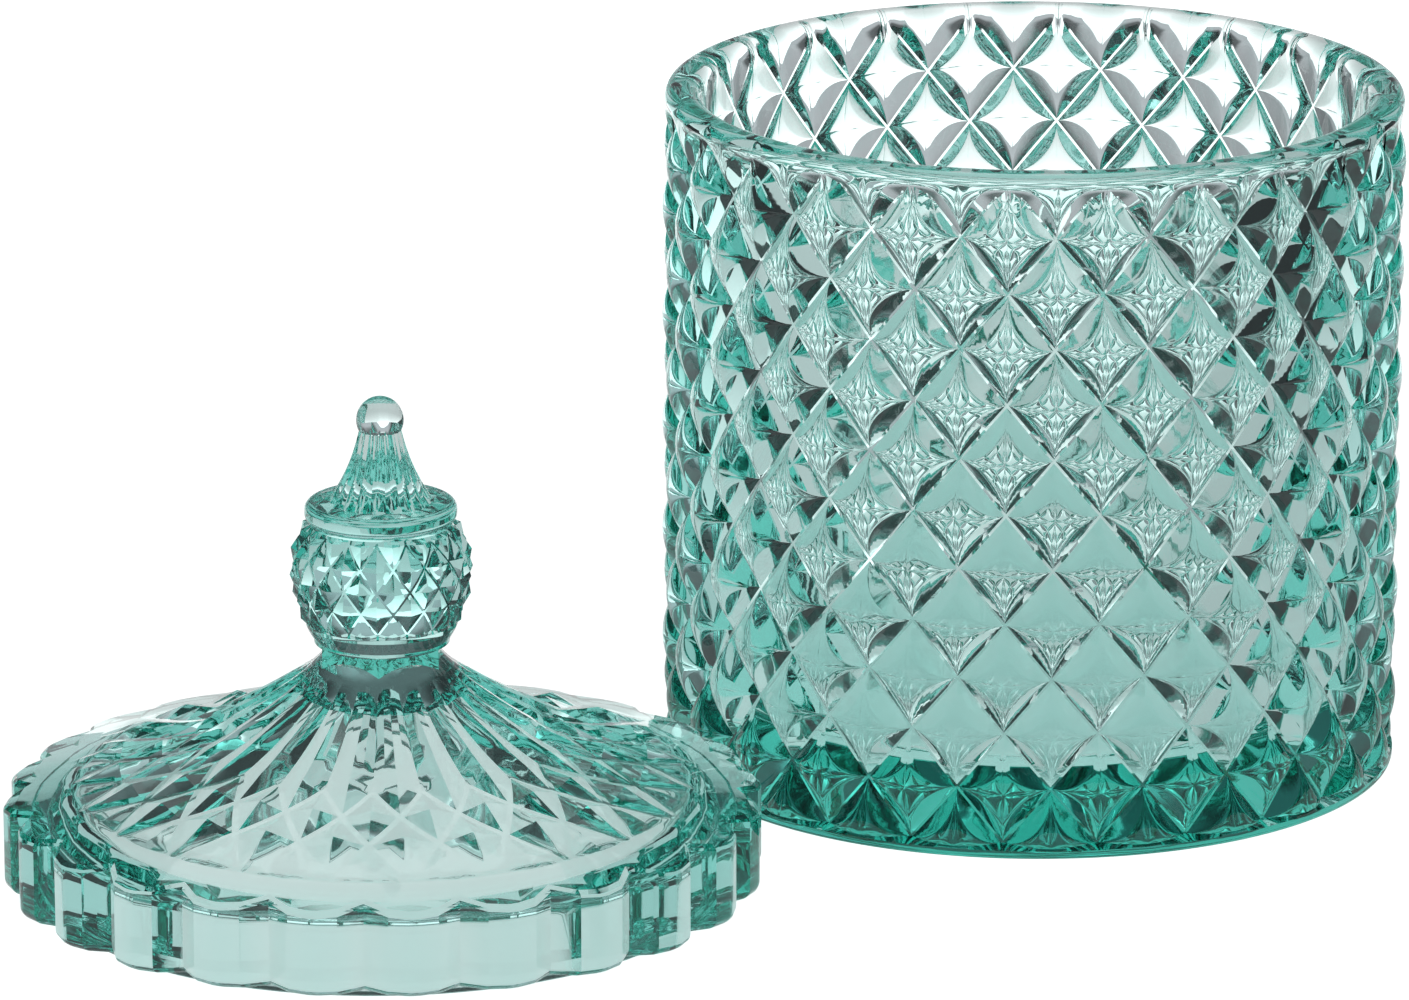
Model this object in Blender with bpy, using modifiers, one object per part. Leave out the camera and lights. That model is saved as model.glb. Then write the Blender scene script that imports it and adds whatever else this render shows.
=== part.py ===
"""A pressed-glass powder jar with its scalloped, knobbed lid standing beside it.

The object is two pieces of green glass. The jar stands on its flat foot with its axis on the origin. The lid
stands on its locating ring, in front of the jar and to its left, and lifts straight up.
"""

import math

import bmesh
import bpy

MM = 0.001

# Jar body
JAR_RADIUS = 50.0 * MM  # over the points of the diamonds
JAR_HEIGHT = 93.0 * MM
DIAMOND_COLUMNS = 24
DIAMOND_HALF_ROWS = 12
DIAMOND_DEPTH = 2.2 * MM  # from a diamond's point down to where the grooves cross
WALL_THICKNESS = 3.1 * MM  # glass left behind the grooves
HOLLOW_DRAFT = 1.0 * MM  # how much narrower the hollow is at its floor than at its mouth
FLOOR_THICKNESS = 9.0 * MM
FLOOR_FILLET = 4.0 * MM
JAR_TURN = math.radians(1.6)

# Jar foot and lip
FOOT_HEIGHT = 1.6 * MM
FOOT_SETBACK = 0.3 * MM  # how far the foot stands inside the diamonds' points
FOOT_CHAMFER = 0.5 * MM
LIP_HEIGHT = 2.6 * MM
LIP_COVER = 0.135  # share of the top half row of diamonds that runs out under the lip
LIP_SETBACK = 0.3 * MM  # how far the lip stands inside the diamonds' points
LIP_ROUND = 1.5 * MM
MOUTH_ROUND = 0.6 * MM

# Lid skirt and locating ring
SCALLOPS = 24
LID_SETBACK = 0.15 * MM  # how far the scallops stand inside the jar's lip
SEAT_WIDTH = 2.8 * MM  # flat seat between the locating ring and the notches
SKIRT_HEIGHT = 11.45 * MM  # from the seat up to the dome's edge at the middle of a scallop
SKIRT_CHAMFER = 1.2 * MM
SHOULDER = 0.7 * MM  # small slope between the skirt and the dome's edge
RING_DROP = 1.6 * MM  # how far the ring reaches down into the mouth
RING_CLEARANCE = 0.9 * MM
RING_WIDTH = 3.2 * MM
RING_CHAMFER = 0.4 * MM
LID_TURN = math.radians(-1.25)

# Lid dome: a plain band, diamonds that shrink towards the neck, then flutes
DOME_SLOPE = 0.268
DOME_FLARE = 7.25 * MM  # extra rise of the dome at the neck
DOME_FLARE_POWER = 4
BAND_WIDTH = 2.9 * MM  # plain band between the notches and the diamonds
LATTICE_EDGE = 1.8 * MM  # from the band to the first row of crossings
LATTICE_ROWS = 4
LATTICE_DEPTH = 1.2 * MM
FLUTE_LENGTH = 13.0 * MM
FLUTE_RINGS = 3
PLATE_THICKNESS = 5.0 * MM
HOLLOW_FILLET = 3.0 * MM
HOLLOW_TOP_RADIUS = 9.5 * MM
HOLLOW_RINGS = 4

# Lid knob
BALL_RADIUS = 12.0 * MM
BALL_DEPTH = 10.2 * MM  # from the neck up to the widest part
BALL_RISE = 6.0 * MM  # from the widest part up to the collar
BALL_RINGS = 3
NECK_SIDES = 6
NECK_SETBACK = 3.3 * MM  # how far the neck's corners stand inside the ball
NECK_HEIGHT = 2.7 * MM
NECK_FLARE = 2.3 * MM  # how far the neck spreads where it meets the flutes
COLLAR_SETBACK = 2.1 * MM  # how far the collar stands inside the ball
COLLAR_HEIGHT = 2.6 * MM
COLLAR_ROUND = 0.7 * MM
BRIM_WIDTH = 3.2 * MM
CONE_HEIGHT = 9.4 * MM
CONE_HOLLOW = 0.5 * MM  # how far the cone's side curves in
CONE_RINGS = 3
BEAD_RADIUS = 3.1 * MM
BEAD_UNDERCUT = 0.35 * MM  # how far the cone's top stands inside the bead
BEAD_RINGS = 4

# Where the lid lies
LID_GAP = 5.5 * MM  # clear space between the jar and the lid
LID_BEARING = math.radians(215.0)

# Fineness of the solids
STEPS_PER_COLUMN = 2
STEPS_PER_SCALLOP = 4
FILLET_STEPS = 3
MERGE_DISTANCE = 0.05 * MM

# Sizes that follow from the ones above
DIAMOND_TOP = DIAMOND_HALF_ROWS - LIP_COVER
HALF_ROW = (JAR_HEIGHT - FOOT_HEIGHT - LIP_HEIGHT) / DIAMOND_TOP
CROSSING_RADIUS = JAR_RADIUS - DIAMOND_DEPTH
MOUTH_RADIUS = CROSSING_RADIUS - WALL_THICKNESS
LIP_RADIUS = JAR_RADIUS - LIP_SETBACK
FOOT_RADIUS = JAR_RADIUS - FOOT_SETBACK
LID_RADIUS = LIP_RADIUS - LID_SETBACK
RING_RADIUS = MOUTH_RADIUS - RING_CLEARANCE
RING_HOLE_RADIUS = RING_RADIUS - RING_WIDTH
NOTCH_RADIUS = RING_RADIUS + SEAT_WIDTH
NECK_RADIUS = BALL_RADIUS - NECK_SETBACK
NECK_FOOT_RADIUS = NECK_RADIUS + NECK_FLARE
COLLAR_RADIUS = BALL_RADIUS - COLLAR_SETBACK
CONE_BASE_RADIUS = COLLAR_RADIUS - BRIM_WIDTH
CONE_TOP_RADIUS = BEAD_RADIUS - BEAD_UNDERCUT
DOME_EDGE_RADIUS = LID_RADIUS - SHOULDER
DOME_EDGE_HEIGHT = RING_DROP + SKIRT_HEIGHT
BAND_RADIUS = NOTCH_RADIUS - SHOULDER - BAND_WIDTH
LATTICE_RADIUS = BAND_RADIUS - LATTICE_EDGE
LATTICE_INNER_RADIUS = NECK_FOOT_RADIUS + FLUTE_LENGTH
LID_DISTANCE = JAR_RADIUS + LID_RADIUS + LID_GAP

GLASS_COLOUR = (0.26, 0.62, 0.53, 1.0)
GLASS_ROUGHNESS = 0.04
GLASS_INDEX = 1.52

QUARTER_TURN = math.pi / 2
SHARP_ANGLE = math.radians(25)


def clear_scene():
    for old in list(bpy.data.objects):
        bpy.data.objects.remove(old)


def new_collection(name):
    collection = bpy.data.collections.new(name)
    bpy.context.scene.collection.children.link(collection)
    return collection


def glass_material(name):
    material = bpy.data.materials.new(name)
    material.use_nodes = True
    shader = material.node_tree.nodes["Principled BSDF"]
    shader.inputs["Base Color"].default_value = GLASS_COLOUR
    shader.inputs["Roughness"].default_value = GLASS_ROUGHNESS
    shader.inputs["Metallic"].default_value = 0.0
    shader.inputs["Transmission Weight"].default_value = 1.0
    shader.inputs["IOR"].default_value = GLASS_INDEX
    return material


def arc(centre_x, centre_z, radius, start, end, steps):
    """Points on a circular arc in the profile plane, from the start angle to the end angle."""
    points = []
    for step in range(steps + 1):
        angle = start + (end - start) * step / steps
        points.append((centre_x + radius * math.cos(angle), centre_z + radius * math.sin(angle)))
    return points


def turned_blank(name, profile, steps):
    """A solid of revolution as a bmesh, with each vertex's place along the profile in the layer 'ring'."""
    outline = bpy.data.meshes.new(name + "_profile")
    edges = [(i, i + 1) for i in range(len(profile) - 1)]
    outline.from_pydata([(radius, 0.0, height) for radius, height in profile], edges, [])
    ring = outline.attributes.new("ring", "INT", "POINT")
    ring.data.foreach_set("value", range(len(profile)))
    lathe = bpy.data.objects.new(name + "_profile", outline)
    bpy.context.scene.collection.objects.link(lathe)
    screw = lathe.modifiers.new("turn", "SCREW")
    screw.steps = steps
    screw.render_steps = steps
    screw.use_merge_vertices = True
    screw.merge_threshold = MERGE_DISTANCE
    bpy.context.view_layer.update()
    depsgraph = bpy.context.evaluated_depsgraph_get()
    turned = bpy.data.meshes.new_from_object(lathe.evaluated_get(depsgraph))
    blank = bmesh.new()
    blank.from_mesh(turned)
    bpy.data.objects.remove(lathe)
    bpy.data.meshes.remove(turned)
    return blank


def diamond_height(across, along):
    """Height from 0 in a groove to 1 on a diamond's point, on a lattice with a crossing at every odd sum."""
    def groove_distance(place):
        return abs(place - 2 * round(place / 2))
    return 1 - max(groove_distance(across + along), groove_distance(across - along))


def flute_height(across, row):
    """Height from 0 between two flutes to 1 along a flute's middle, in line with a row of diamonds."""
    place = across - (row - 1)
    return 1 - abs(place - 2 * round(place / 2))


def half_columns(angle, columns):
    """Place round the axis, counted in half columns."""
    return round(2 * columns * angle / math.tau, 6)


def crease_grooves(blank, heights):
    """Split each cut face along its lower diagonal, so that the grooves run from crossing to crossing.

    Where the diagonals are level, the split runs through the topmost corner, alike on a diamond's two sides.
    """
    for face in list(blank.faces):
        corners = face.verts[:]
        if len(corners) != 4 or not all(corner in heights for corner in corners):
            continue
        first = heights[corners[0]] + heights[corners[2]]
        second = heights[corners[1]] + heights[corners[3]]
        topmost = corners.index(max(corners, key=lambda corner: corner.co.z))
        if first < second or (first == second and topmost % 2 == 0):
            bmesh.utils.face_split(face, corners[0], corners[2])
        else:
            bmesh.utils.face_split(face, corners[1], corners[3])


def halve_steps(blank, ring, steps, coarse_rings):
    """Weld every other step of the plain round rings to its neighbour, because they need fewer faces."""
    spots = {}
    for vertex in blank.verts:
        if vertex[ring] in coarse_rings:
            angle = math.atan2(vertex.co.y, vertex.co.x)
            spots[vertex[ring], round(angle * steps / math.tau) % steps] = vertex
    welds = {}
    for (place, step), vertex in spots.items():
        if step % 2 == 1:
            welds[vertex] = spots[place, step - 1]
    bmesh.ops.weld_verts(blank, targetmap=welds)


def finished_object(name, blank, collection):
    mesh = bpy.data.meshes.new(name)
    blank.to_mesh(mesh)
    blank.free()
    mesh.attributes.remove(mesh.attributes["ring"])
    mesh.shade_smooth()
    mesh.set_sharp_from_angle(angle=SHARP_ANGLE)
    mesh.materials.append(glass_material(name + "_glass"))
    piece = bpy.data.objects.new(name, mesh)
    collection.objects.link(piece)
    return piece


def jar_profile():
    """Half section of the plain jar: over the floor, up the hollow, over the lip, down the outside and in."""
    fillet_x = MOUTH_RADIUS - HOLLOW_DRAFT - FLOOR_FILLET
    fillet_z = FLOOR_THICKNESS + FLOOR_FILLET
    profile = [(0.0, FLOOR_THICKNESS)]
    profile += arc(fillet_x, fillet_z, FLOOR_FILLET, -QUARTER_TURN, 0, FILLET_STEPS)
    mouth_x = MOUTH_RADIUS + MOUTH_ROUND
    profile += arc(mouth_x, JAR_HEIGHT - MOUTH_ROUND, MOUTH_ROUND, math.pi, QUARTER_TURN, FILLET_STEPS)
    lip_x = LIP_RADIUS - LIP_ROUND
    profile += arc(lip_x, JAR_HEIGHT - LIP_ROUND, LIP_ROUND, QUARTER_TURN, 0, FILLET_STEPS)
    top_row = len(profile)
    for row in range(DIAMOND_HALF_ROWS, -1, -1):
        profile.append((CROSSING_RADIUS, FOOT_HEIGHT + HALF_ROW * min(row, DIAMOND_TOP)))
    profile.append((FOOT_RADIUS, FOOT_CHAMFER))
    profile.append((FOOT_RADIUS - FOOT_CHAMFER, 0.0))
    profile.append((0.0, 0.0))
    return profile, top_row


def build_jar(collection):
    """The jar: a turned blank whose outer wall is pressed into diamonds between the lip and the foot."""
    profile, top_row = jar_profile()
    blank = turned_blank("jar", profile, DIAMOND_COLUMNS * STEPS_PER_COLUMN)
    ring = blank.verts.layers.int["ring"]
    heights = {}
    for vertex in blank.verts:
        row = top_row + DIAMOND_HALF_ROWS - vertex[ring]
        if not 0 <= row <= DIAMOND_HALF_ROWS:
            continue
        angle = math.atan2(vertex.co.y, vertex.co.x)
        heights[vertex] = diamond_height(half_columns(angle, DIAMOND_COLUMNS), min(row, DIAMOND_TOP))
        point_radius = {0: FOOT_RADIUS, DIAMOND_HALF_ROWS: LIP_RADIUS}.get(row, JAR_RADIUS)
        radius = CROSSING_RADIUS + (point_radius - CROSSING_RADIUS) * heights[vertex]
        vertex.co.x = radius * math.cos(angle)
        vertex.co.y = radius * math.sin(angle)
    crease_grooves(blank, heights)
    jar = finished_object("jar", blank, collection)
    jar.rotation_euler.z = JAR_TURN


def scallop_radius(angle):
    """Radius of the lid's edge: circular lobes that meet in sharp notches."""
    half = math.pi / SCALLOPS
    turn = angle % (2 * half) - half
    reach = LID_RADIUS - NOTCH_RADIUS * math.cos(half)
    centre = (LID_RADIUS ** 2 - NOTCH_RADIUS ** 2) / (2 * reach)
    lobe = LID_RADIUS - centre
    return centre * math.cos(turn) + math.sqrt(lobe ** 2 - (centre * math.sin(turn)) ** 2)


def neck_radius(angle):
    """Radius of the many-sided neck, with a corner to the front."""
    half = math.pi / NECK_SIDES
    turn = (angle + QUARTER_TURN) % (2 * half) - half
    return NECK_RADIUS * math.cos(half) / math.cos(turn)


def dome_height(radius):
    """Height of the dome's grooves above the table."""
    inward = DOME_EDGE_RADIUS - radius
    flare = (inward / (DOME_EDGE_RADIUS - NECK_RADIUS)) ** DOME_FLARE_POWER
    return DOME_EDGE_HEIGHT + DOME_SLOPE * inward + DOME_FLARE * flare


# Each ring of the lid is a function of the angle. It gives the radius, the height and, where the ring is cut,
# the height of the cutting from 0 to 1.


def round_ring(radius, height):
    return lambda angle: (radius, height, None)


def scalloped_ring(inset, height):
    return lambda angle: (scallop_radius(angle) - inset, height, None)


def edge_ring(inset, drop):
    """A scalloped ring that follows the dome."""
    def place(angle):
        radius = scallop_radius(angle) - inset
        return radius, dome_height(radius) - drop, None
    return place


def neck_ring(height):
    return lambda angle: (neck_radius(angle), height, None)


def diamond_ring(radius, row):
    def place(angle):
        cut = diamond_height(half_columns(angle, SCALLOPS), row)
        return radius, dome_height(radius) + LATTICE_DEPTH * radius / LATTICE_RADIUS * cut, cut
    return place


def flute_ring(radius, fade):
    def place(angle):
        cut = flute_height(half_columns(angle, SCALLOPS), LATTICE_ROWS)
        return radius, dome_height(radius) + LATTICE_DEPTH * radius / LATTICE_RADIUS * cut * fade, cut
    return place


def knob_rings():
    """The knob from the bead's top down to the neck."""
    neck_foot = dome_height(NECK_RADIUS)
    neck_top = neck_foot + NECK_HEIGHT
    ball_middle = neck_top + BALL_DEPTH
    collar_foot = ball_middle + BALL_RISE
    collar_top = collar_foot + COLLAR_HEIGHT
    cone_top = collar_top + CONE_HEIGHT
    bead_waist = math.acos(CONE_TOP_RADIUS / BEAD_RADIUS)
    bead_middle = cone_top + BEAD_RADIUS * math.sin(bead_waist)
    points = arc(0.0, bead_middle, BEAD_RADIUS, QUARTER_TURN, -bead_waist, BEAD_RINGS)
    points[0] = (0.0, bead_middle + BEAD_RADIUS)
    for step in range(1, CONE_RINGS + 1):
        share = step / CONE_RINGS
        hollow = CONE_HOLLOW * math.sin(math.pi * share)
        radius = CONE_TOP_RADIUS + (CONE_BASE_RADIUS - CONE_TOP_RADIUS) * share - hollow
        points.append((radius, cone_top - CONE_HEIGHT * share))
    collar_x = COLLAR_RADIUS - COLLAR_ROUND
    points += arc(collar_x, collar_top - COLLAR_ROUND, COLLAR_ROUND, QUARTER_TURN, 0, FILLET_STEPS)
    collar_edge = math.acos(COLLAR_RADIUS / BALL_RADIUS)
    rise = BALL_RISE / math.sin(collar_edge)
    for step in range(BALL_RINGS):
        turn = collar_edge * (1 - step / BALL_RINGS)
        points.append((BALL_RADIUS * math.cos(turn), ball_middle + rise * math.sin(turn)))
    neck_edge = math.acos(NECK_RADIUS / BALL_RADIUS)
    depth = BALL_DEPTH / math.sin(neck_edge)
    for step in range(BALL_RINGS):
        turn = neck_edge * step / BALL_RINGS
        points.append((BALL_RADIUS * math.cos(turn), ball_middle - depth * math.sin(turn)))
    rings = [round_ring(radius, height) for radius, height in points]
    return rings + [neck_ring(neck_top), neck_ring(neck_foot)]


def dome_rings():
    """The dome from the neck's foot out to its scalloped edge."""
    rings = [round_ring(NECK_FOOT_RADIUS, dome_height(NECK_FOOT_RADIUS))]
    for step in range(1, FLUTE_RINGS):
        share = step / FLUTE_RINGS
        rings.append(flute_ring(NECK_FOOT_RADIUS + FLUTE_LENGTH * share, share))
    half_rows = 2 * (LATTICE_ROWS - 1)
    for step in range(half_rows, -1, -1):
        share = step / half_rows
        radius = LATTICE_RADIUS * (LATTICE_INNER_RADIUS / LATTICE_RADIUS) ** share
        rings.append(diamond_ring(radius, step / 2))
    rings.append(round_ring(BAND_RADIUS, dome_height(BAND_RADIUS)))
    rings.append(edge_ring(SHOULDER, 0.0))
    rings.append(edge_ring(0.0, SHOULDER))
    return rings


def skirt_rings():
    """The skirt's chamfered foot."""
    return [scalloped_ring(0.0, RING_DROP + SKIRT_CHAMFER), scalloped_ring(SKIRT_CHAMFER, RING_DROP)]


def underside_rings():
    """The seat, the locating ring and the hollow."""
    fillet_x = RING_HOLE_RADIUS - HOLLOW_FILLET
    fillet_z = dome_height(fillet_x) - PLATE_THICKNESS - HOLLOW_FILLET
    points = [
        (RING_RADIUS, RING_DROP),
        (RING_RADIUS, RING_CHAMFER),
        (RING_RADIUS - RING_CHAMFER, 0.0),
        (RING_HOLE_RADIUS + RING_CHAMFER, 0.0),
        (RING_HOLE_RADIUS, RING_CHAMFER),
    ]
    points += arc(fillet_x, fillet_z, HOLLOW_FILLET, 0, QUARTER_TURN, FILLET_STEPS)
    for step in range(1, HOLLOW_RINGS + 1):
        radius = fillet_x + (HOLLOW_TOP_RADIUS - fillet_x) * step / HOLLOW_RINGS
        points.append((radius, dome_height(radius) - PLATE_THICKNESS))
    points.append((0.0, dome_height(HOLLOW_TOP_RADIUS) - PLATE_THICKNESS))
    return [round_ring(radius, height) for radius, height in points]


def build_lid(collection):
    """The lid: a turned blank with its edge scalloped, its neck made six-sided and its dome cut."""
    knob = knob_rings()
    cut_and_scalloped = dome_rings() + skirt_rings()
    rings = knob + cut_and_scalloped + underside_rings()
    profile = [place(0.0)[:2] for place in rings]
    steps = SCALLOPS * STEPS_PER_SCALLOP
    blank = turned_blank("lid", profile, steps)
    ring = blank.verts.layers.int["ring"]
    heights = {}
    for vertex in blank.verts:
        angle = math.atan2(vertex.co.y, vertex.co.x)
        radius, height, cut = rings[vertex[ring]](angle)
        vertex.co = (radius * math.cos(angle), radius * math.sin(angle), height)
        if cut is not None:
            heights[vertex] = cut
    crease_grooves(blank, heights)
    underside_start = len(knob) + len(cut_and_scalloped)
    plain_rings = [*range(len(knob)), *range(underside_start, len(rings))]
    halve_steps(blank, ring, steps, plain_rings)
    lid = finished_object("lid", blank, collection)
    lid.location.x = LID_DISTANCE * math.cos(LID_BEARING)
    lid.location.y = LID_DISTANCE * math.sin(LID_BEARING)
    lid.rotation_euler.z = LID_TURN


clear_scene()
pieces = new_collection("powder_jar")
build_jar(pieces)
build_lid(pieces)
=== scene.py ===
import math

import bmesh
import bpy
from mathutils import Matrix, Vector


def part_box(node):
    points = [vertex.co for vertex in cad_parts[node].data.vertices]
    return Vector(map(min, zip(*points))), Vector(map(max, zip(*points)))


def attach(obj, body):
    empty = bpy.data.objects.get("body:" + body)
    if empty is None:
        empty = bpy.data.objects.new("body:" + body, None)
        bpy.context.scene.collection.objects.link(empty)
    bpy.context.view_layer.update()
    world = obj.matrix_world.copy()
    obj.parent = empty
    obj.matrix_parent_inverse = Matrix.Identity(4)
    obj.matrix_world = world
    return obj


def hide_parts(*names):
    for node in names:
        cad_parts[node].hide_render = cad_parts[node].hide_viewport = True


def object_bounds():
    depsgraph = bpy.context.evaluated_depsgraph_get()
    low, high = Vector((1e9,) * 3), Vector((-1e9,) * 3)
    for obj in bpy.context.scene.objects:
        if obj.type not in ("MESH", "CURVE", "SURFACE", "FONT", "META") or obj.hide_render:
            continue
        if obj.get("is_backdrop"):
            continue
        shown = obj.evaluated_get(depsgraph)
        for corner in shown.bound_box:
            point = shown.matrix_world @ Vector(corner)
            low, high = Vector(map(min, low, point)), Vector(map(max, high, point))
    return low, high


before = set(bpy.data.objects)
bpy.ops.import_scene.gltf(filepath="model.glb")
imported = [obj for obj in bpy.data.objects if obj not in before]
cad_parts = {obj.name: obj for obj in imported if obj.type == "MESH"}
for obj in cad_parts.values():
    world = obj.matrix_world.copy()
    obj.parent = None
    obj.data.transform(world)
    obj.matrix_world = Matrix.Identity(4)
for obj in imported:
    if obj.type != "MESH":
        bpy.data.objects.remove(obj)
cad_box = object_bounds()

# The jar is one thick-walled piece of green glass, pressed in a mould that cuts the diamonds into its
# outside. The plunger leaves the hollow smooth and slightly tapered. The lip is rounded in the fire, and
# the foot stays plain and flat.

MM = 0.001
QUARTER_TURN = math.pi / 2
ROUND_STEPS = 8
jar_low, jar_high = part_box("jar")
JAR_HEIGHT = jar_high.z - jar_low.z
JAR_RADIUS = (jar_high.x - jar_low.x) / 2
JAR_TURN = math.radians(1.6)
JAR_SHARP_ANGLE = math.radians(30)
DIAMOND_COLUMNS = 24
DIAMOND_HALF_ROWS = 12
DIAMOND_DEPTH = 2.6 * MM
WALL_THICKNESS = 2.7 * MM
HOLLOW_DRAFT = 1.0 * MM
HOLLOW_RINGS = (0.02, 0.2, 0.4, 0.6, 0.8)
FLOOR_THICKNESS = 9.0 * MM
FLOOR_FILLET = 4.0 * MM
FLOOR_RINGS = (0.98, 0.6, 0.3)
FOOT_HEIGHT = 1.6 * MM
FOOT_SETBACK = 0.3 * MM
FOOT_EDGE = 0.4 * MM
FOOT_ROUND = 0.6 * MM
FOOT_RINGS = (0.9, 0.6, 0.3)
LIP_HEIGHT = 1.59 * MM
LIP_SETBACK = 0.3 * MM
LIP_ROUND = 1.55 * MM
LIP_RUNOUT = 0.32
MOUTH_ROUND = 2.2 * MM
HALF_ROW = (JAR_HEIGHT - FOOT_HEIGHT - LIP_HEIGHT) / DIAMOND_HALF_ROWS
CROSSING_RADIUS = JAR_RADIUS - DIAMOND_DEPTH
MOUTH_RADIUS = CROSSING_RADIUS - WALL_THICKNESS
LIP_RADIUS = JAR_RADIUS - LIP_SETBACK
FOOT_RADIUS = JAR_RADIUS - FOOT_SETBACK
PETAL_WIDTH = 0.43
PETAL_TIP = 0.93
PETAL_SOFTNESS = 0.03
PETAL_RAYS = 6
GROOVE_WIDTH = 0.035
CUSHION_PLACES = (0.0, 0.35, 0.7, 1.0)
GLASS_INDEX = 1.52
GLASS_TINT = (0.03, 0.865, 0.79, 1.0)
GLASS_DENSITY = 31.0
GLASS_SHADE = (0.86, 0.97, 0.95, 1.0)
SKIN_GREEN = (0.975, 0.995, 0.99, 1.0)
SKIN_CLEAR = (0.995, 1.0, 1.0, 1.0)
SKIN_GREEN_PLACE = 0.3
SKIN_CLEAR_PLACE = 0.7
JAR_WAVES = 90.0
WAVE_DETAIL = 2.0
WAVE_STRENGTH = 0.12
WAVE_HEIGHT = 0.2 * MM
HAZE_GRAIN = 420.0
HAZE_DETAIL = 4.0
HAZE_ROUGHNESS = 0.05


class Pressing:
    """A closed piece of pressed glass, built up from rings of points round its own axis."""

    def __init__(self):
        self.points = []
        self.faces = []

    def ring(self, angles, place):
        """A ring of points at the angles given, with place(angle) for the radius and height of each."""
        start = len(self.points)
        for angle in angles:
            radius, height = place(angle)
            self.points.append((radius * math.cos(angle), radius * math.sin(angle), height))
        return list(range(start, len(self.points)))

    def join(self, first, second):
        """Faces between two rings that have their points at the same angles."""
        for i, corner in enumerate(first):
            after = (i + 1) % len(first)
            self.faces.append((corner, first[after], second[after], second[i]))

    def follow(self, start, angles, places):
        """Rings that go on from the ring given, one for each function in places."""
        last = start
        for place in places:
            new = self.ring(angles, place)
            self.join(last, new)
            last = new
        return last

    def turn(self, start, angles, outline):
        """Plain round rings that go on from the ring given, one for each point of the outline."""
        return self.follow(start, angles, [lambda angle, spot=spot: spot for spot in outline])

    def stitch(self, first, first_angles, second, second_angles):
        """Triangles between two rings that have their points at different angles."""
        i = 0
        j = 0
        while i < len(first) or j < len(second):
            one = first_angles[i % len(first)] + math.tau * (i // len(first))
            two = second_angles[j % len(second)] + math.tau * (j // len(second))
            a = first[i % len(first)]
            b = second[j % len(second)]
            if j == len(second) or (i < len(first) and one <= two):
                i += 1
                self.faces.append((a, first[i % len(first)], b))
            else:
                j += 1
                self.faces.append((a, second[j % len(second)], b))

    def cap(self, ring, height):
        """A fan of faces from a ring to a point on the axis."""
        self.points.append((0.0, 0.0, height))
        for i, corner in enumerate(ring):
            self.faces.append((corner, ring[(i + 1) % len(ring)], len(self.points) - 1))

    def diamonds(self, columns, rows, quarter, place):
        """A band of diamonds. Across counts half columns and along counts half rows; the diamonds have
        their points where the two add up to an even number, and place(across, along, depth) gives each
        corner. A diamond is four quarters from its point to its grooves, and quarter holds the rays that
        cover one of them. Returns the band's first and last rings with the places across of each."""
        spots = {}

        def corner(middle, row, one, two, depth):
            across = middle + (one + two) / 2
            along = row + (one - two) / 2
            key = round(across, 5) % (2 * columns), round(along, 5)
            if key not in spots:
                spots[key] = len(self.points)
                self.points.append(place(across, along, depth))
            return spots[key]

        for row in range(rows + 1):
            for middle in range(row % 2, 2 * columns, 2):
                for side in range(4):
                    if (row == 0 and side in (1, 2)) or (row == rows and side in (0, 3)):
                        continue
                    lines = []
                    for ray in quarter:
                        line = []
                        for towards, beside, depth in ray:
                            one, two = (
                                (towards, beside), (-beside, towards), (-towards, -beside), (beside, -towards)
                            )[side]
                            line.append(corner(middle, row, one, two, depth))
                        lines.append(line)
                    for left, right in zip(lines, lines[1:]):
                        for k in range(len(left) - 1):
                            loop = list(dict.fromkeys((left[k], left[k + 1], right[k + 1], right[k])))
                            if len(loop) > 2:
                                self.faces.append(loop)
        edges = []
        for row in (0, rows):
            across = sorted(key[0] for key in spots if key[1] == row)
            edges.append(([spots[spot, row] for spot in across], across))
        return edges

    def finished(self, name, material, location, turn, sharp_angle):
        """The pressing as an object at its place, smooth but for the edges over the sharp angle."""
        mesh = bpy.data.meshes.new(name)
        mesh.from_pydata(self.points, [], self.faces)
        mesh.transform(Matrix.Translation(location) @ Matrix.Rotation(turn, 4, "Z"))
        shell = bmesh.new()
        shell.from_mesh(mesh)
        bmesh.ops.recalc_face_normals(shell, faces=shell.faces)
        shell.to_mesh(mesh)
        shell.free()
        mesh.shade_smooth()
        mesh.set_sharp_from_angle(angle=sharp_angle)
        mesh.materials.append(material)
        piece = bpy.data.objects.new(name, mesh)
        bpy.context.scene.collection.objects.link(piece)
        return piece


def petal_ray(slant):
    """Places along one ray of a diamond's quarter, as (towards the groove, beside, depth). The diamond's
    point is a soft cushion, and a flat face runs from it down to the groove, which has a narrow flat
    bottom."""
    bottom = 1 - GROOVE_WIDTH
    face_width = PETAL_WIDTH - GROOVE_WIDTH
    tip = (bottom - PETAL_TIP) / face_width
    cushion = (1 - tip) / (2 * PETAL_TIP ** 2 - tip * (1 - PETAL_WIDTH) ** 2)
    steepness = (1 - cushion * (1 - PETAL_WIDTH) ** 2) / face_width
    bend = cushion * (1 + slant * slant)
    edge = (steepness - math.sqrt(steepness ** 2 - 4 * bend * (steepness * bottom - 1))) / (2 * bend)
    inner = edge - PETAL_SOFTNESS
    outer = edge + (bottom - edge) * PETAL_SOFTNESS / face_width
    ray = []
    for towards in [inner * share for share in CUSHION_PLACES]:
        ray.append((towards, slant * towards, bend * towards * towards))
    ray.append((outer, slant * outer, 1 - steepness * (bottom - outer)))
    return ray + [(bottom, slant * bottom, 1.0), (1.0, slant, 1.0)]


def arc(centre_x, centre_z, radius, start, end):
    """Points of an outline on part of a circle, from the start angle to the end angle."""
    points = []
    for step in range(ROUND_STEPS + 1):
        angle = start + (end - start) * step / ROUND_STEPS
        points.append((centre_x + radius * math.cos(angle), centre_z + radius * math.sin(angle)))
    return points


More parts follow.
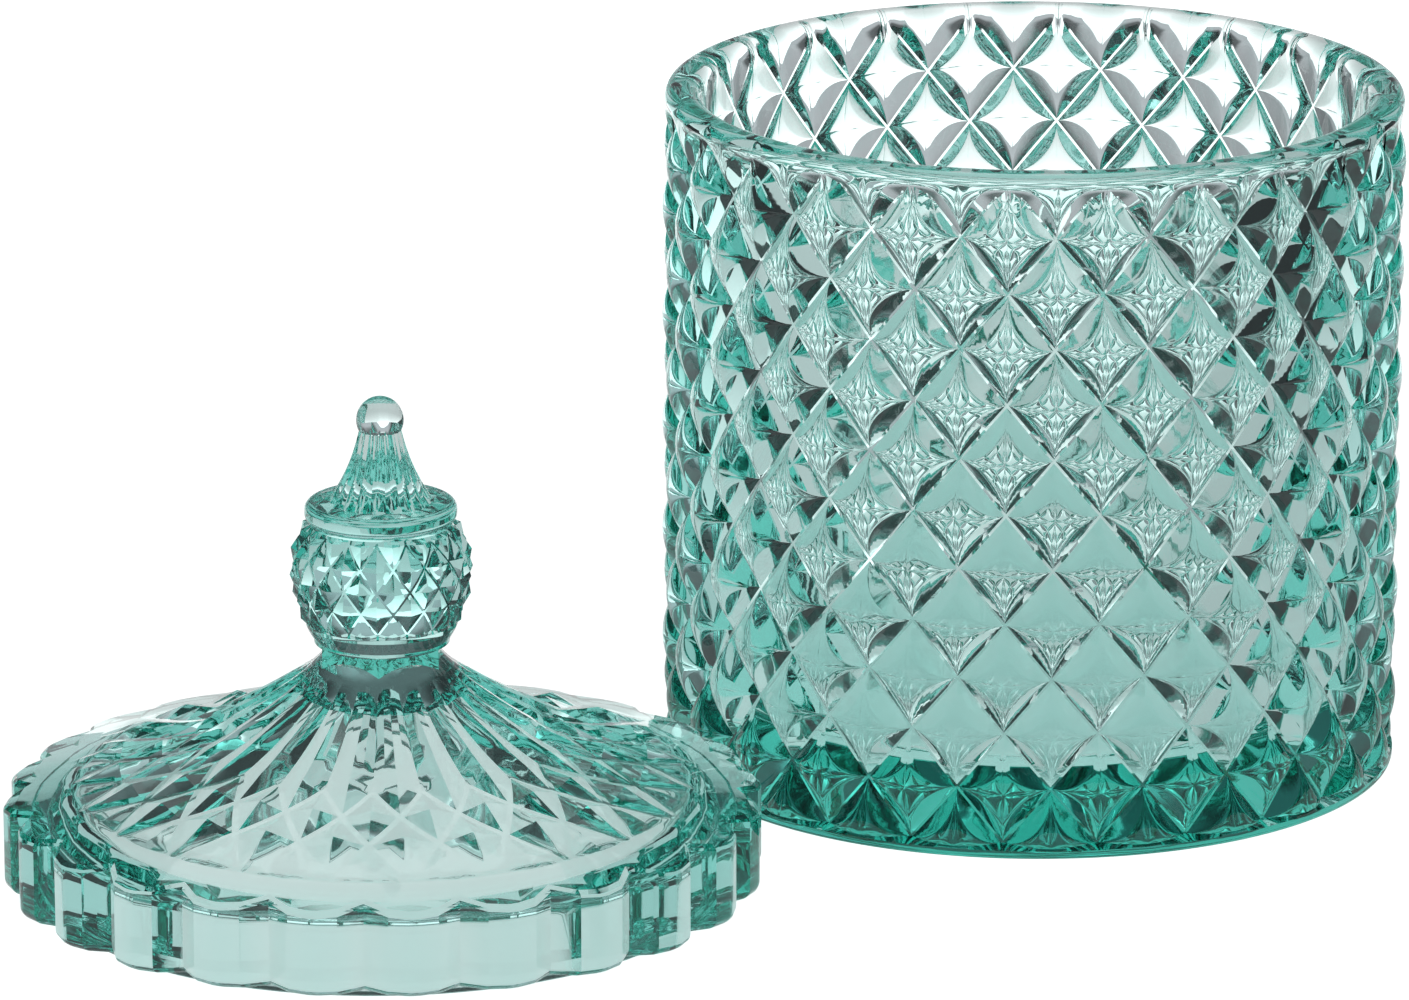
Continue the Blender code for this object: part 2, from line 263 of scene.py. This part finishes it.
def jar_wall(across, along, depth):
    """A point on the diamonds, which are trimmed back to the foot below and run out into the lip above."""
    angle = across * math.pi / DIAMOND_COLUMNS
    point_radius = JAR_RADIUS
    if along < 1:
        point_radius -= FOOT_SETBACK * (1 - along)
    if along > DIAMOND_HALF_ROWS - 1:
        point_radius -= LIP_SETBACK * (along - DIAMOND_HALF_ROWS + 1)
    shown = min((DIAMOND_HALF_ROWS - along) / LIP_RUNOUT, 1)
    shown = shown * shown * (3 - 2 * shown)
    radius = point_radius + (CROSSING_RADIUS - point_radius) * depth * shown
    return radius * math.cos(angle), radius * math.sin(angle), FOOT_HEIGHT + HALF_ROW * along


def new_node(tree, kind, **values):
    """A shader node with its inputs set: a number or colour, or another node's output to link."""
    node = tree.nodes.new(kind)
    for name, value in values.items():
        if name.startswith("i"):
            socket = node.inputs[int(name[1:])]
        else:
            socket = node.inputs[name.replace("_", " ")]
        if isinstance(value, bpy.types.NodeSocket):
            tree.links.new(value, socket)
        else:
            socket.default_value = value
    return node


def fade(tree, value, places, levels, shape="LINEAR"):
    """A level that goes from the first to the second as the value goes from one place to the other."""
    step = new_node(
        tree, "ShaderNodeMapRange", Value=value,
        From_Min=places[0], From_Max=places[1], To_Min=levels[0], To_Max=levels[1],
    )
    step.interpolation_type = shape
    return step.outputs["Result"]


def pressed_glass(name, waves_per_metre):
    """Green glass with the faint waviness and haze that the mould leaves on it."""
    material = bpy.data.materials.new(name)
    material.use_nodes = True
    tree = material.node_tree
    tree.nodes.clear()
    place = new_node(tree, "ShaderNodeTexCoord").outputs["Object"]
    noise = "ShaderNodeTexNoise"
    waves = new_node(tree, noise, Vector=place, Scale=waves_per_metre, Detail=WAVE_DETAIL).outputs["Fac"]
    haze = new_node(tree, noise, Vector=place, Scale=HAZE_GRAIN, Detail=HAZE_DETAIL).outputs["Fac"]
    roughness = fade(tree, haze, (0.0, 1.0), (0.0, HAZE_ROUGHNESS))
    bump = new_node(tree, "ShaderNodeBump", Height=waves, Strength=WAVE_STRENGTH, Distance=WAVE_HEIGHT)
    colour = new_node(tree, "ShaderNodeValToRGB", Fac=waves)
    green, clear = colour.color_ramp.elements
    green.position = SKIN_GREEN_PLACE
    green.color = SKIN_GREEN
    clear.position = SKIN_CLEAR_PLACE
    clear.color = SKIN_CLEAR
    glass = new_node(
        tree, "ShaderNodeBsdfPrincipled", Base_Color=colour.outputs["Color"], IOR=GLASS_INDEX,
        Transmission_Weight=1.0, Roughness=roughness, Normal=bump.outputs["Normal"],
    )
    passing = new_node(tree, "ShaderNodeBsdfTransparent", Color=GLASS_SHADE)
    shadow = new_node(tree, "ShaderNodeLightPath").outputs["Is Shadow Ray"]
    surface = new_node(
        tree, "ShaderNodeMixShader", i0=shadow, i1=glass.outputs["BSDF"], i2=passing.outputs["BSDF"]
    )
    depth = new_node(tree, "ShaderNodeVolumeAbsorption", Color=GLASS_TINT, Density=GLASS_DENSITY)
    new_node(
        tree, "ShaderNodeOutputMaterial", Surface=surface.outputs["Shader"], Volume=depth.outputs["Volume"]
    )
    return material


petal_quarter = []
for step in range(-PETAL_RAYS, PETAL_RAYS + 1):
    petal_quarter.append(petal_ray(math.sin(QUARTER_TURN * step / PETAL_RAYS)))
jar_shape = Pressing()
(foot_edge, wall_places), (lip_edge, _) = jar_shape.diamonds(
    DIAMOND_COLUMNS, DIAMOND_HALF_ROWS, petal_quarter, jar_wall
)
jar_angles = [place * math.pi / DIAMOND_COLUMNS for place in wall_places]
foot_outline = [(FOOT_RADIUS, FOOT_HEIGHT - FOOT_EDGE)]
foot_outline += arc(FOOT_RADIUS - FOOT_ROUND, FOOT_ROUND, FOOT_ROUND, 0, -QUARTER_TURN)
foot_outline += [(FOOT_RADIUS * share, 0.0) for share in FOOT_RINGS]
jar_shape.cap(jar_shape.turn(foot_edge, jar_angles, foot_outline), 0.0)
mouth_height = JAR_HEIGHT - MOUTH_ROUND
lip_outline = arc(LIP_RADIUS - LIP_ROUND, JAR_HEIGHT - LIP_ROUND, LIP_ROUND, 0, QUARTER_TURN)
lip_outline += arc(MOUTH_RADIUS + MOUTH_ROUND, mouth_height, MOUTH_ROUND, QUARTER_TURN, math.pi)
wall_height = mouth_height - FLOOR_THICKNESS - FLOOR_FILLET
for share in HOLLOW_RINGS:
    lip_outline.append((MOUTH_RADIUS - HOLLOW_DRAFT * share, mouth_height - wall_height * share))
fillet_radius = MOUTH_RADIUS - HOLLOW_DRAFT - FLOOR_FILLET
lip_outline += arc(fillet_radius, FLOOR_THICKNESS + FLOOR_FILLET, FLOOR_FILLET, 0, -QUARTER_TURN)
lip_outline += [(fillet_radius * share, FLOOR_THICKNESS) for share in FLOOR_RINGS]
jar_shape.cap(jar_shape.turn(lip_edge, jar_angles, lip_outline), FLOOR_THICKNESS)
jar_glass = pressed_glass("jar_glass", JAR_WAVES)
jar = jar_shape.finished("pressed_jar", jar_glass, (0.0, 0.0, 0.0), JAR_TURN, JAR_SHARP_ANGLE)
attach(jar, "jar")
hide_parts("jar")

# The lid is a second pressing of the same glass: a scalloped skirt that rests on the jar's lip, a locating
# ring that drops into the mouth, and a dome cut with diamonds and flutes. Its knob is pressed in one with
# it: a six-sided neck, a cut ball, a collar, a fluted cone and a bead.

lid_low, lid_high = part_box("lid")
lid_middle = (lid_low + lid_high) / 2
LID_TURN = math.radians(-1.25)
LID_SHARP_ANGLE = math.radians(14)
LID_STEPS = 12
LID_WAVES = 120.0
SCALLOPS = 24
LID_SETBACK = 0.19 * MM
SEAT_WIDTH = 2.8 * MM
SKIRT_HEIGHT = 11.45 * MM
SKIRT_ROUND = 1.5 * MM
SKIRT_RINGS = (0.15, 0.4, 0.65)
SHOULDER = 0.7 * MM
SHOULDER_BEND = 0.15 * MM
SHOULDER_DROP = 0.35 * MM
RING_DROP = 1.6 * MM
RING_CLEARANCE = 0.9 * MM
RING_WIDTH = 3.2 * MM
RING_ROUND = 0.5 * MM
LID_RADIUS = LIP_RADIUS - LID_SETBACK
RING_RADIUS = MOUTH_RADIUS - RING_CLEARANCE
RING_HOLE_RADIUS = RING_RADIUS - RING_WIDTH
NOTCH_RADIUS = RING_RADIUS + SEAT_WIDTH
DOME_SLOPE = 0.268
DOME_FLARE = 7.25 * MM
DOME_FLARE_POWER = 4
BAND_WIDTH = 2.9 * MM
LATTICE_EDGE = 1.8 * MM
LATTICE_ROWS = 3
LATTICE_DEPTH = 1.3 * MM
LATTICE_GROOVE = 0.12
FACET_RAYS = 4
FLUTE_DEPTH = 1.0 * MM
FLUTE_LENGTH = 14.4 * MM
FLUTE_START = 3
FLUTE_RUNOUT_POWER = 4
PLATE_THICKNESS = 5.0 * MM
HOLLOW_FILLET = 3.0 * MM
HOLLOW_TOP_RADIUS = 9.5 * MM
HOLLOW_TOP_RINGS = (0.9, 0.5)
NECK_SIDES = 6
NECK_RADIUS = 8.7 * MM
NECK_HEIGHT = 2.7 * MM
NECK_FOOT_RADIUS = 9.6 * MM
NECK_STEPS = 4
NECK_RINGS = (0.3, 1.0)
BALL_RADIUS = 12.0 * MM
BALL_DEPTH = 10.2 * MM
BALL_RISE = 6.0 * MM
BALL_LOWER_REACH = 14.5 * MM
BALL_UPPER_REACH = 10.6 * MM
BALL_COLUMNS = 16
BALL_ROWS = 4
BALL_CUT = 0.9 * MM
BALL_CUT_BELOW = 6.8 * MM
BALL_CUT_ABOVE = 5.2 * MM
BALL_GROOVE = 0.08
BOWL_STEPS = 6
BOWL_CUT = 0.5
BOWL_SETOUT = 0.1 * MM
COLLAR_RADIUS = 9.9 * MM
COLLAR_HEIGHT = 2.6 * MM
COLLAR_ROUND = 1.0 * MM
COLLAR_UNDERCUT = 0.6 * MM
COLLAR_UNDERCUT_DROP = 0.3 * MM
COLLAR_SEAT = 0.5 * MM
COLLAR_BRIM = 0.6 * MM
CONE_HEIGHT = 9.4 * MM
CONE_BASE_RADIUS = 6.7 * MM
CONE_TOP_RADIUS = 2.75 * MM
CONE_HOLLOW = 0.5 * MM
CONE_FLUTES = 18
CONE_FLUTE_DEPTH = 0.6 * MM
CONE_FLUTE_STEPS = 8
BEAD_RADIUS = 3.1 * MM
DOME_EDGE_RADIUS = LID_RADIUS - SHOULDER
DOME_EDGE_HEIGHT = RING_DROP + SKIRT_HEIGHT
BAND_RADIUS = NOTCH_RADIUS - SHOULDER - BAND_WIDTH
LATTICE_RADIUS = BAND_RADIUS - LATTICE_EDGE
LATTICE_INNER_RADIUS = NECK_FOOT_RADIUS + FLUTE_LENGTH
HALF_SCALLOP = math.pi / SCALLOPS
HALF_BALL = math.pi / BALL_COLUMNS


def scallop_radius(angle):
    """Radius of the lid's edge: circular lobes that meet in sharp notches."""
    turn = angle % (2 * HALF_SCALLOP) - HALF_SCALLOP
    reach = LID_RADIUS - NOTCH_RADIUS * math.cos(HALF_SCALLOP)
    centre = (LID_RADIUS ** 2 - NOTCH_RADIUS ** 2) / (2 * reach)
    lobe = LID_RADIUS - centre
    return centre * math.cos(turn) + math.sqrt(lobe ** 2 - (centre * math.sin(turn)) ** 2)


def across_scallop(angle):
    """Place from the middle of a scallop at 0 to its notches at 1."""
    return abs(angle % (2 * HALF_SCALLOP) / HALF_SCALLOP - 1)


def neck_radius(angle):
    """Radius of the flat-sided neck, with a corner to the front."""
    half = math.pi / NECK_SIDES
    turn = (angle + QUARTER_TURN) % (2 * half) - half
    return NECK_RADIUS * math.cos(half) / math.cos(turn)


def dome_height(radius):
    """Height of the dome's grooves, which slope up evenly and then sweep up into the neck."""
    inward = DOME_EDGE_RADIUS - radius
    flare = (inward / (DOME_EDGE_RADIUS - NECK_RADIUS)) ** DOME_FLARE_POWER
    return DOME_EDGE_HEIGHT + DOME_SLOPE * inward + DOME_FLARE * flare


def facet_quarter(groove):
    """One quarter of a flat-sided diamond with a flat groove round it."""
    quarter = []
    for step in range(-FACET_RAYS, FACET_RAYS + 1):
        places = (0.0, 0.5, 1 - groove, 1.0)
        quarter.append([(place, place * step / FACET_RAYS, min(place / (1 - groove), 1)) for place in places])
    return quarter


def dome_cut(across, along, depth):
    """A point on the dome's diamonds, which run out on the plain band in arcs."""
    angle = across * HALF_SCALLOP
    radius = LATTICE_RADIUS * (LATTICE_INNER_RADIUS / LATTICE_RADIUS) ** (along / LATTICE_ROWS)
    radius += LATTICE_EDGE * (1 - across_scallop(angle) ** 2) * max(1 - along, 0)
    rise = LATTICE_DEPTH * radius / LATTICE_RADIUS * min(along, 1)
    return radius * math.cos(angle), radius * math.sin(angle), dome_height(radius) + rise * (1 - depth)


def dome_edge(inset, drop):
    """A scalloped ring that follows the dome."""
    def place(angle):
        radius = scallop_radius(angle) - inset
        return radius, dome_height(radius) - drop
    return place


def skirt(inset, height):
    """A level scalloped ring."""
    return lambda angle: (scallop_radius(angle) - inset, height)


def flute_ring(share):
    """A ring across the flutes, which grow out of the last diamonds and run out at the neck's foot."""
    radius = LATTICE_INNER_RADIUS + (NECK_FOOT_RADIUS - LATTICE_INNER_RADIUS) * share
    blend = min(FLUTE_START * share, 1)

    def place(angle):
        diamond = 1 - across_scallop(angle)
        flute = 1 - across_scallop(angle) ** 2
        cut = diamond + (flute - diamond) * blend
        rise = LATTICE_DEPTH * radius / LATTICE_RADIUS
        rise += (FLUTE_DEPTH - rise) * blend
        return radius, dome_height(radius) + rise * cut * (1 - share ** FLUTE_RUNOUT_POWER)
    return place


def neck_flare(share):
    """A ring on the dome between the round foot of the neck and its flat sides."""
    def place(angle):
        radius = NECK_FOOT_RADIUS + (neck_radius(angle) - NECK_FOOT_RADIUS) * share
        return radius, dome_height(radius)
    return place


def neck_side(height):
    """A level ring round the neck."""
    return lambda angle: (neck_radius(angle), height)


def sorted_ring(ring, angles):
    """The ring and its angles in order from 0 to a full turn."""
    pairs = sorted((angle % math.tau, point) for angle, point in zip(angles, ring))
    return [point for angle, point in pairs], [angle for angle, point in pairs]


lid_shape = Pressing()
(band_edge, band_places), (flute_edge, flute_places) = lid_shape.diamonds(
    SCALLOPS, LATTICE_ROWS, facet_quarter(LATTICE_GROOVE), dome_cut
)
band_angles = [place * HALF_SCALLOP for place in band_places]
flute_angles = [place * HALF_SCALLOP for place in flute_places]
skirt_rings = [dome_edge(SHOULDER, 0.0), dome_edge(SHOULDER_BEND, SHOULDER_DROP), dome_edge(0.0, SHOULDER)]
skirt_rings += [skirt(0.0, DOME_EDGE_HEIGHT - share * SKIRT_HEIGHT) for share in SKIRT_RINGS]
for inward, height in arc(0.0, RING_DROP + SKIRT_ROUND, SKIRT_ROUND, 0, -QUARTER_TURN):
    skirt_rings.append(skirt(SKIRT_ROUND - inward, height))
skirt_end = lid_shape.follow(band_edge, band_angles, skirt_rings)
under_fillet_radius = RING_HOLE_RADIUS - HOLLOW_FILLET
under_fillet_height = dome_height(under_fillet_radius) - PLATE_THICKNESS - HOLLOW_FILLET
under_outline = [(RING_RADIUS, RING_DROP)]
under_outline += arc(RING_RADIUS - RING_ROUND, RING_ROUND, RING_ROUND, 0, -QUARTER_TURN)
under_outline += arc(RING_HOLE_RADIUS + RING_ROUND, RING_ROUND, RING_ROUND, -QUARTER_TURN, -math.pi)
under_outline += arc(under_fillet_radius, under_fillet_height, HOLLOW_FILLET, 0, QUARTER_TURN)
for step in range(1, LID_STEPS + 1):
    radius = under_fillet_radius + (HOLLOW_TOP_RADIUS - under_fillet_radius) * step / LID_STEPS
    under_outline.append((radius, dome_height(radius) - PLATE_THICKNESS))
hollow_top = dome_height(HOLLOW_TOP_RADIUS) - PLATE_THICKNESS
under_outline += [(HOLLOW_TOP_RADIUS * share, hollow_top) for share in HOLLOW_TOP_RINGS]
lid_shape.cap(lid_shape.turn(skirt_end, band_angles, under_outline), hollow_top)

neck_foot = dome_height(NECK_RADIUS)
neck_top = neck_foot + NECK_HEIGHT
neck_rings = [flute_ring(step / LID_STEPS) for step in range(1, LID_STEPS + 1)]
neck_rings += [neck_flare(step / NECK_STEPS) for step in range(1, NECK_STEPS + 1)]
neck_rings += [neck_side(neck_foot + share * NECK_HEIGHT) for share in NECK_RINGS]
neck_end = lid_shape.follow(flute_edge, flute_angles, neck_rings)
neck_end, neck_angles = sorted_ring(neck_end, flute_angles)

ball_middle = neck_top + BALL_DEPTH
ball_cut_foot = ball_middle - BALL_CUT_BELOW
ball_cut_top = ball_middle + BALL_CUT_ABOVE
collar_foot = ball_middle + BALL_RISE
collar_top = collar_foot + COLLAR_HEIGHT
cone_top = collar_top + CONE_HEIGHT


def ball_radius(height):
    """Round outline of the ball, deeper below its widest part than above it."""
    reach = (height - ball_middle) / (BALL_UPPER_REACH if height > ball_middle else BALL_LOWER_REACH)
    return BALL_RADIUS * math.sqrt(max(1 - reach * reach, 0))


def ball_face(across, along, depth):
    """A point on the ball's diamonds."""
    angle = (across + 1) * HALF_BALL - QUARTER_TURN
    height = ball_cut_foot + (ball_cut_top - ball_cut_foot) * along / BALL_ROWS
    radius = ball_radius(height) - BALL_CUT * depth
    return radius * math.cos(angle), radius * math.sin(angle), height


def cone_ring(share):
    """A ring round the cone, whose side curves in and whose flutes narrow with it."""
    radius = CONE_BASE_RADIUS + (CONE_TOP_RADIUS - CONE_BASE_RADIUS) * share
    radius -= CONE_HOLLOW * math.sin(math.pi * share)

    def place(angle):
        flute = abs(math.sin(angle * CONE_FLUTES / 2))
        cut = CONE_FLUTE_DEPTH * (1 - flute) * radius / CONE_BASE_RADIUS
        return radius - cut, collar_top + CONE_HEIGHT * share
    return place


(ball_low, ball_places), (ball_high, _) = lid_shape.diamonds(
    BALL_COLUMNS, BALL_ROWS, facet_quarter(BALL_GROOVE), ball_face
)
ball_angles = [(place + 1) * HALF_BALL - QUARTER_TURN for place in ball_places]
bowl_outline = []
for step in range(1, BOWL_STEPS + 1):
    height = ball_cut_foot + (neck_top - ball_cut_foot) * step / BOWL_STEPS
    radius = ball_radius(height) - BALL_CUT * BOWL_CUT / step
    bowl_outline.append((max(radius, NECK_RADIUS + BOWL_SETOUT), height))
bowl_end = lid_shape.turn(ball_low, ball_angles, bowl_outline)
bowl_end, bowl_angles = sorted_ring(bowl_end, ball_angles)
lid_shape.stitch(neck_end, neck_angles, bowl_end, bowl_angles)
collar_outline = [(COLLAR_RADIUS - COLLAR_UNDERCUT, collar_foot - COLLAR_UNDERCUT_DROP)]
collar_outline += [(COLLAR_RADIUS - COLLAR_SEAT, collar_foot)]
collar_inner = COLLAR_RADIUS - COLLAR_ROUND
collar_outline += arc(collar_inner, collar_foot + COLLAR_ROUND, COLLAR_ROUND, -QUARTER_TURN, 0)
collar_outline += arc(collar_inner, collar_top - COLLAR_ROUND, COLLAR_ROUND, 0, QUARTER_TURN)
collar_outline += [(CONE_BASE_RADIUS + COLLAR_BRIM, collar_top)]
collar_end = lid_shape.turn(ball_high, ball_angles, collar_outline)
collar_end, collar_angles = sorted_ring(collar_end, ball_angles)

cone_points = CONE_FLUTE_STEPS * CONE_FLUTES
cone_angles = [math.tau * step / cone_points for step in range(cone_points)]
cone_foot = lid_shape.ring(cone_angles, cone_ring(0.0))
lid_shape.stitch(collar_end, collar_angles, cone_foot, cone_angles)
cone_rings = [cone_ring(step / LID_STEPS) for step in range(1, LID_STEPS + 1)]
cone_end = lid_shape.follow(cone_foot, cone_angles, cone_rings)
bead_waist = math.acos(CONE_TOP_RADIUS / BEAD_RADIUS)
bead_middle = cone_top + BEAD_RADIUS * math.sin(bead_waist)
bead_outline = []
for step in range(1, LID_STEPS):
    angle = -bead_waist + (QUARTER_TURN + bead_waist) * step / LID_STEPS
    bead_outline.append((BEAD_RADIUS * math.cos(angle), bead_middle + BEAD_RADIUS * math.sin(angle)))
lid_shape.cap(lid_shape.turn(cone_end, cone_angles, bead_outline), bead_middle + BEAD_RADIUS)
lid_glass = pressed_glass("lid_glass", LID_WAVES)
lid_place = (lid_middle.x, lid_middle.y, 0.0)
lid = lid_shape.finished("pressed_lid", lid_glass, lid_place, LID_TURN, LID_SHARP_ANGLE)
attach(lid, "lid")
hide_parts("lid")

# The floor is a strip of plain white paper, matt and flat, laid under the jar and the lid. It runs from in
# front of them to well behind them. Straight to the camera it glows plain white. What the glass shows of it
# glows with painted light: painted shade near the objects, brighter at the back and a little brighter on the
# lid's side.

WHITE = (1.0, 1.0, 1.0, 1.0)
PAPER_WHITE = (0.88, 0.88, 0.88, 1.0)
PAPER_HALF_WIDTH = 0.28
PAPER_FRONT = -1.0
PAPER_BACK = 1.4
PAPER_DROP = 0.2 * MM
PAINTED_LIGHT_PLACES = (0.05, 0.30)
PAINTED_LIGHT_LEVELS = (0.46, 1.3)
LID_SIDE_PAINTED_LIGHT_PLACES = (-0.09, -0.02)
LID_SIDE_PAINTED_LIGHT_LEVELS = (1.17, 1.0)


def combined(tree, kind, one, two):
    """Two levels put together by the kind of sum given."""
    node = new_node(tree, "ShaderNodeMath", i0=one, i1=two)
    node.operation = kind
    return node.outputs["Value"]


paper_left = lid_middle.x / 2 - PAPER_HALF_WIDTH
paper_right = lid_middle.x / 2 + PAPER_HALF_WIDTH
paper_corners = [
    (paper_left, PAPER_FRONT, -PAPER_DROP), (paper_right, PAPER_FRONT, -PAPER_DROP),
    (paper_right, PAPER_BACK, -PAPER_DROP), (paper_left, PAPER_BACK, -PAPER_DROP),
]
paper_mesh = bpy.data.meshes.new("paper_roll")
paper_mesh.from_pydata(paper_corners, [], [(0, 1, 2, 3)])
paper = bpy.data.objects.new("paper_roll", paper_mesh)
bpy.context.scene.collection.objects.link(paper)
paper_material = bpy.data.materials.new("white_paper_painted_light")
paper_material.use_nodes = True
tree = paper_material.node_tree
tree.nodes.clear()
camera_ray = new_node(tree, "ShaderNodeLightPath").outputs["Is Camera Ray"]
paper_place = new_node(tree, "ShaderNodeTexCoord").outputs["Object"]
split = new_node(tree, "ShaderNodeSeparateXYZ", Vector=paper_place)
# Painted light: the paper's glow is painted shade near the objects, rising to painted light behind them and
# on the lid's side.
painted_light_level = fade(tree, split.outputs["Y"], PAINTED_LIGHT_PLACES, PAINTED_LIGHT_LEVELS)
painted_side_light = fade(tree, split.outputs["X"], LID_SIDE_PAINTED_LIGHT_PLACES, LID_SIDE_PAINTED_LIGHT_LEVELS)
painted_paper_light = combined(tree, "MULTIPLY", painted_light_level, painted_side_light)
seen_level = combined(tree, "MAXIMUM", camera_ray, painted_paper_light)
matt = new_node(tree, "ShaderNodeBsdfDiffuse", Color=PAPER_WHITE)
glow = new_node(tree, "ShaderNodeEmission", Color=WHITE, Strength=seen_level)
both = new_node(tree, "ShaderNodeAddShader", i0=matt.outputs["BSDF"], i1=glow.outputs["Emission"])
new_node(tree, "ShaderNodeOutputMaterial", Surface=both.outputs["Shader"])
paper_mesh.materials.append(paper_material)
paper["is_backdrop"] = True

# The light is a plain studio. Low behind the object stands a pale backdrop, in front of it is a soft fill,
# the room at its two sides is dark, and one large softbox hangs above and behind it. The camera itself sees
# plain white all round.

ROOM_LEVEL = 0.035
ROOM_COLOUR = (0.97, 0.95, 1.0, 1.0)
BACKDROP_LEVEL = 0.12
BACKDROP_PLACES = (0.75, 0.97)
HORIZON_LEVEL = 0.40
HORIZON_PLACES = (0.07, 0.24)
FILL_LEVEL = 0.05
FILL_PLACES = (-0.9, -0.2)
SOFTBOX_WIDTH = 0.9
SOFTBOX_DEPTH = 0.7
SOFTBOX_POWER = 1.5
SOFTBOX_PLACE = (-0.04, 0.75, 1.2)
world = bpy.data.worlds.new("studio")
bpy.context.scene.world = world
world.use_nodes = True
tree = world.node_tree
tree.nodes.clear()
camera_ray = new_node(tree, "ShaderNodeLightPath").outputs["Is Camera Ray"]
direction = new_node(tree, "ShaderNodeTexCoord").outputs["Generated"]
split = new_node(tree, "ShaderNodeSeparateXYZ", Vector=direction)
backdrop_levels = (BACKDROP_LEVEL + HORIZON_LEVEL, BACKDROP_LEVEL)
behind = fade(tree, split.outputs["Y"], BACKDROP_PLACES, (0.0, 1.0), "SMOOTHSTEP")
backdrop = fade(tree, split.outputs["Z"], HORIZON_PLACES, backdrop_levels, "SMOOTHSTEP")
fill = fade(tree, split.outputs["Y"], FILL_PLACES, (FILL_LEVEL, 0.0), "SMOOTHSTEP")
backdrop_level = combined(tree, "MULTIPLY", behind, backdrop)
room_level = combined(tree, "ADD", fill, ROOM_LEVEL)
studio_level = combined(tree, "ADD", backdrop_level, room_level)
seen = new_node(tree, "ShaderNodeBackground", Color=WHITE, Strength=1.0)
studio = new_node(tree, "ShaderNodeBackground", Color=ROOM_COLOUR, Strength=studio_level)
mix = new_node(
    tree, "ShaderNodeMixShader",
    i0=camera_ray, i1=studio.outputs["Background"], i2=seen.outputs["Background"],
)
new_node(tree, "ShaderNodeOutputWorld", Surface=mix.outputs["Shader"])
light = bpy.data.lights.new("softbox", "AREA")
light.shape = "RECTANGLE"
light.size = SOFTBOX_WIDTH
light.size_y = SOFTBOX_DEPTH
light.energy = SOFTBOX_POWER
softbox = bpy.data.objects.new("softbox", light)
softbox.location = SOFTBOX_PLACE
softbox.rotation_euler = (-softbox.location).to_track_quat("-Z", "Y").to_euler()
bpy.context.scene.collection.objects.link(softbox)

# The camera stands where the photograph was taken, above the lip and straight in front, with a long lens
# that keeps the jar's sides upright. Light may cross many faces of glass on its way to it.

SENSOR_WIDTH = 36.0
CAMERA_LENS = 240.28
CAMERA_PLACE = (-44.25 * MM, -1225.31 * MM, 394.09 * MM)
CAMERA_TILT = math.radians(73.662)
GLASS_BOUNCES = 24
SHINE_BOUNCES = 12
camera = bpy.data.cameras.new("camera")
camera.sensor_width = SENSOR_WIDTH
camera.sensor_fit = "HORIZONTAL"
camera.lens = CAMERA_LENS
viewer = bpy.data.objects.new("camera", camera)
viewer.location = CAMERA_PLACE
viewer.rotation_euler = (CAMERA_TILT, 0.0, 0.0)
bpy.context.scene.collection.objects.link(viewer)
bpy.context.scene.camera = viewer
bpy.context.scene.view_settings.view_transform = "Standard"
cycles = bpy.context.scene.cycles
cycles.max_bounces = GLASS_BOUNCES
cycles.transmission_bounces = GLASS_BOUNCES
cycles.glossy_bounces = SHINE_BOUNCES

boxes = [[list(corner) for corner in box] for box in (cad_box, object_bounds())]
